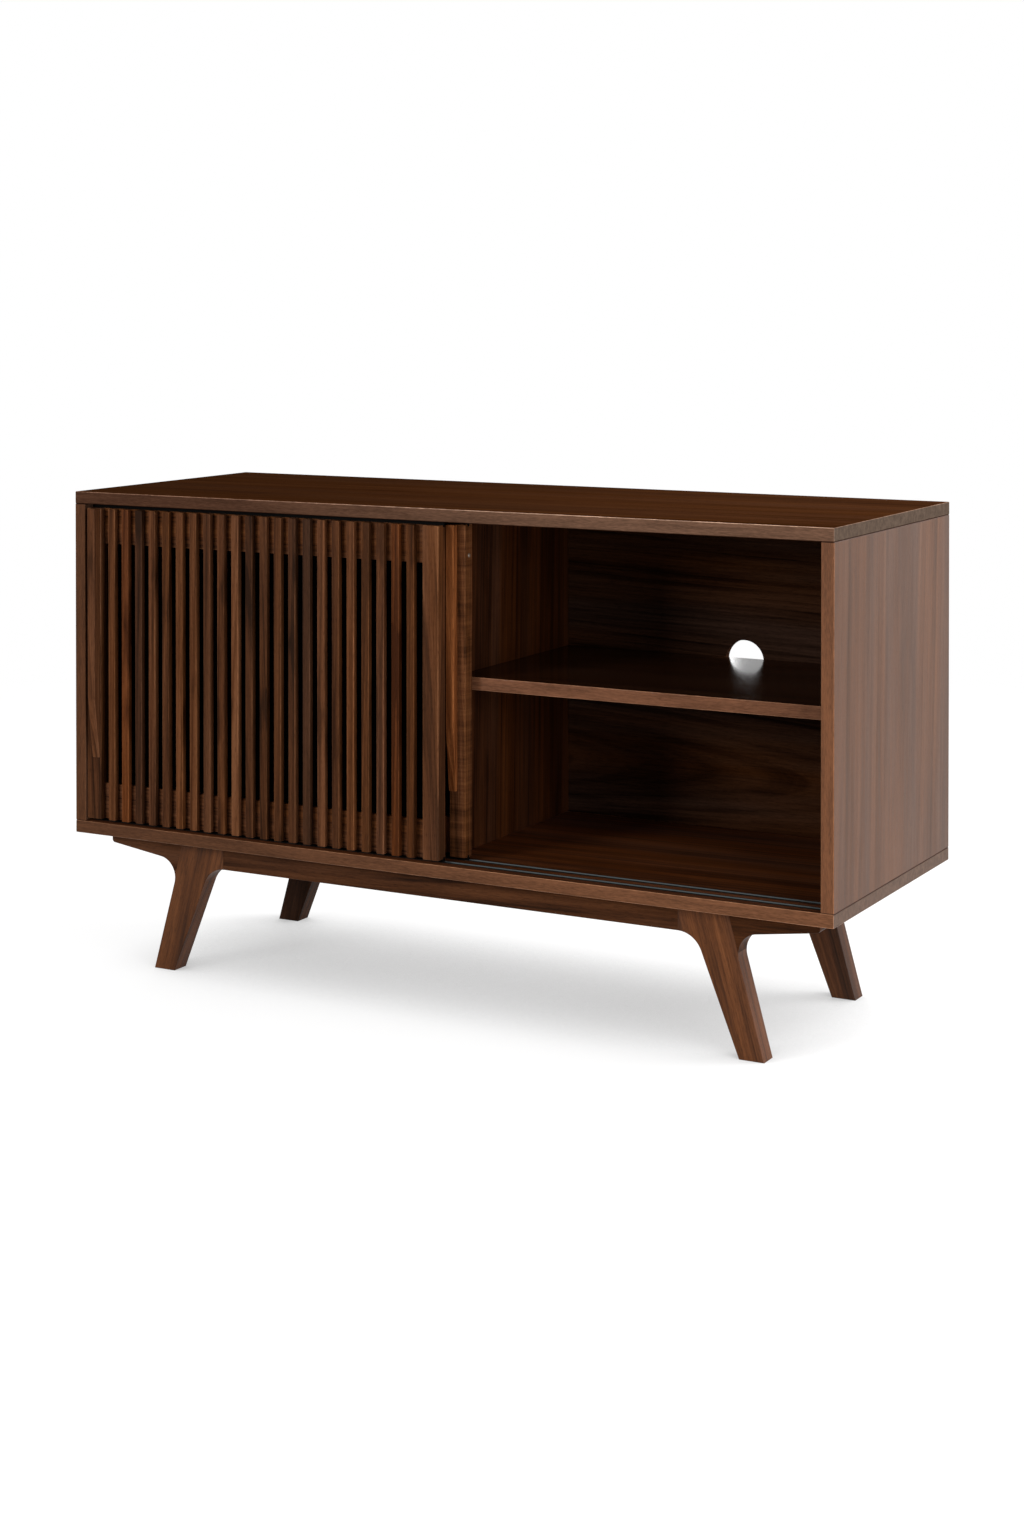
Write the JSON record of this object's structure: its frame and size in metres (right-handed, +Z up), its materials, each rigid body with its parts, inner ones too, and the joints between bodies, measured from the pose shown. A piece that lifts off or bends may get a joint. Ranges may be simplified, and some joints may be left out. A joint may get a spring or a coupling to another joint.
{
  "type": "media cabinet",
  "caption": "Low walnut media cabinet on splayed leg frames, with slatted doors that slide past each other in front of shelved bays.",
  "frame": {"origin": "on the floor, under the centre of the overall box", "axes": "+Z up; front faces -Y; +X to the right as seen from the front"},
  "size_m": [1.2, 0.4544, 0.705],
  "materials": {
    "case_walnut": "satin walnut on panels, straight grain",
    "inside_walnut": "satin walnut, darker inside the case",
    "door_walnut": "satin solid walnut, each strip of its own tone",
    "pull_walnut": "satin solid walnut",
    "leg_walnut": "satin solid walnut, grain along each piece",
    "track_plastic": "dark grey extruded plastic",
    "runner_nylon": "black nylon",
    "backing_felt": "black felt sheet",
    "bumper_rubber": "clear soft rubber"
  },
  "bodies": {
    "case": {"bottom_panel": "case_walnut", "top_panel": "case_walnut", "side_panel_left": "case_walnut", "side_panel_right": "case_walnut", "centre_divider": "inside_walnut", "back_panel": "inside_walnut", "shelf_left": "inside_walnut", "shelf_right": "inside_walnut", "bottom_track_front": "track_plastic", "bottom_track_rear": "track_plastic", "top_track_front": "track_plastic", "top_track_rear": "track_plastic", "front_frame_wing_left": "leg_walnut", "front_frame_leg_left": "leg_walnut", "front_frame_apron": "leg_walnut", "front_frame_leg_right": "leg_walnut", "front_frame_wing_right": "leg_walnut", "rear_frame_wing_left": "leg_walnut", "rear_frame_leg_left": "leg_walnut", "rear_frame_apron": "leg_walnut", "rear_frame_leg_right": "leg_walnut", "rear_frame_wing_right": "leg_walnut"},
    "front_door": {"front_door_stile_left": "door_walnut", "front_door_stile_right": "door_walnut", "front_door_rail_bottom": "door_walnut", "front_door_rail_top": "door_walnut", "front_door_slat_01": "door_walnut", "front_door_slat_02": "door_walnut", "front_door_slat_03": "door_walnut", "front_door_slat_04": "door_walnut", "front_door_slat_05": "door_walnut", "front_door_slat_06": "door_walnut", "front_door_slat_07": "door_walnut", "front_door_slat_08": "door_walnut", "front_door_slat_09": "door_walnut", "front_door_slat_10": "door_walnut", "front_door_slat_11": "door_walnut", "front_door_slat_12": "door_walnut", "front_door_slat_13": "door_walnut", "front_door_slat_14": "door_walnut", "front_door_slat_15": "door_walnut", "front_door_slat_16": "door_walnut", "front_door_slat_17": "door_walnut", "front_door_slat_18": "door_walnut", "front_door_slat_19": "door_walnut", "front_door_slat_20": "door_walnut", "front_door_slat_21": "door_walnut", "front_door_slat_22": "door_walnut", "front_door_backing": "backing_felt", "front_door_pull": "pull_walnut", "front_door_runner_bottom": "runner_nylon", "front_door_runner_top": "runner_nylon"},
    "rear_door": {"rear_door_stile_left": "door_walnut", "rear_door_stile_right": "door_walnut", "rear_door_grille": "door_walnut", "rear_door_backing": "backing_felt", "rear_door_pull": "pull_walnut", "rear_door_runner_bottom": "runner_nylon", "rear_door_runner_top": "runner_nylon", "rear_door_bumper": "bumper_rubber"}
  },
  "joints": [
    {"name": "front_door_slide", "type": "slide", "parent": "case", "child": "front_door", "axis": [1, 0, 0], "range_m": [0, 0.5345]},
    {"name": "rear_door_slide", "type": "slide", "parent": "case", "child": "rear_door", "axis": [1, 0, 0], "range_m": [0, 0.535]}
  ]
}
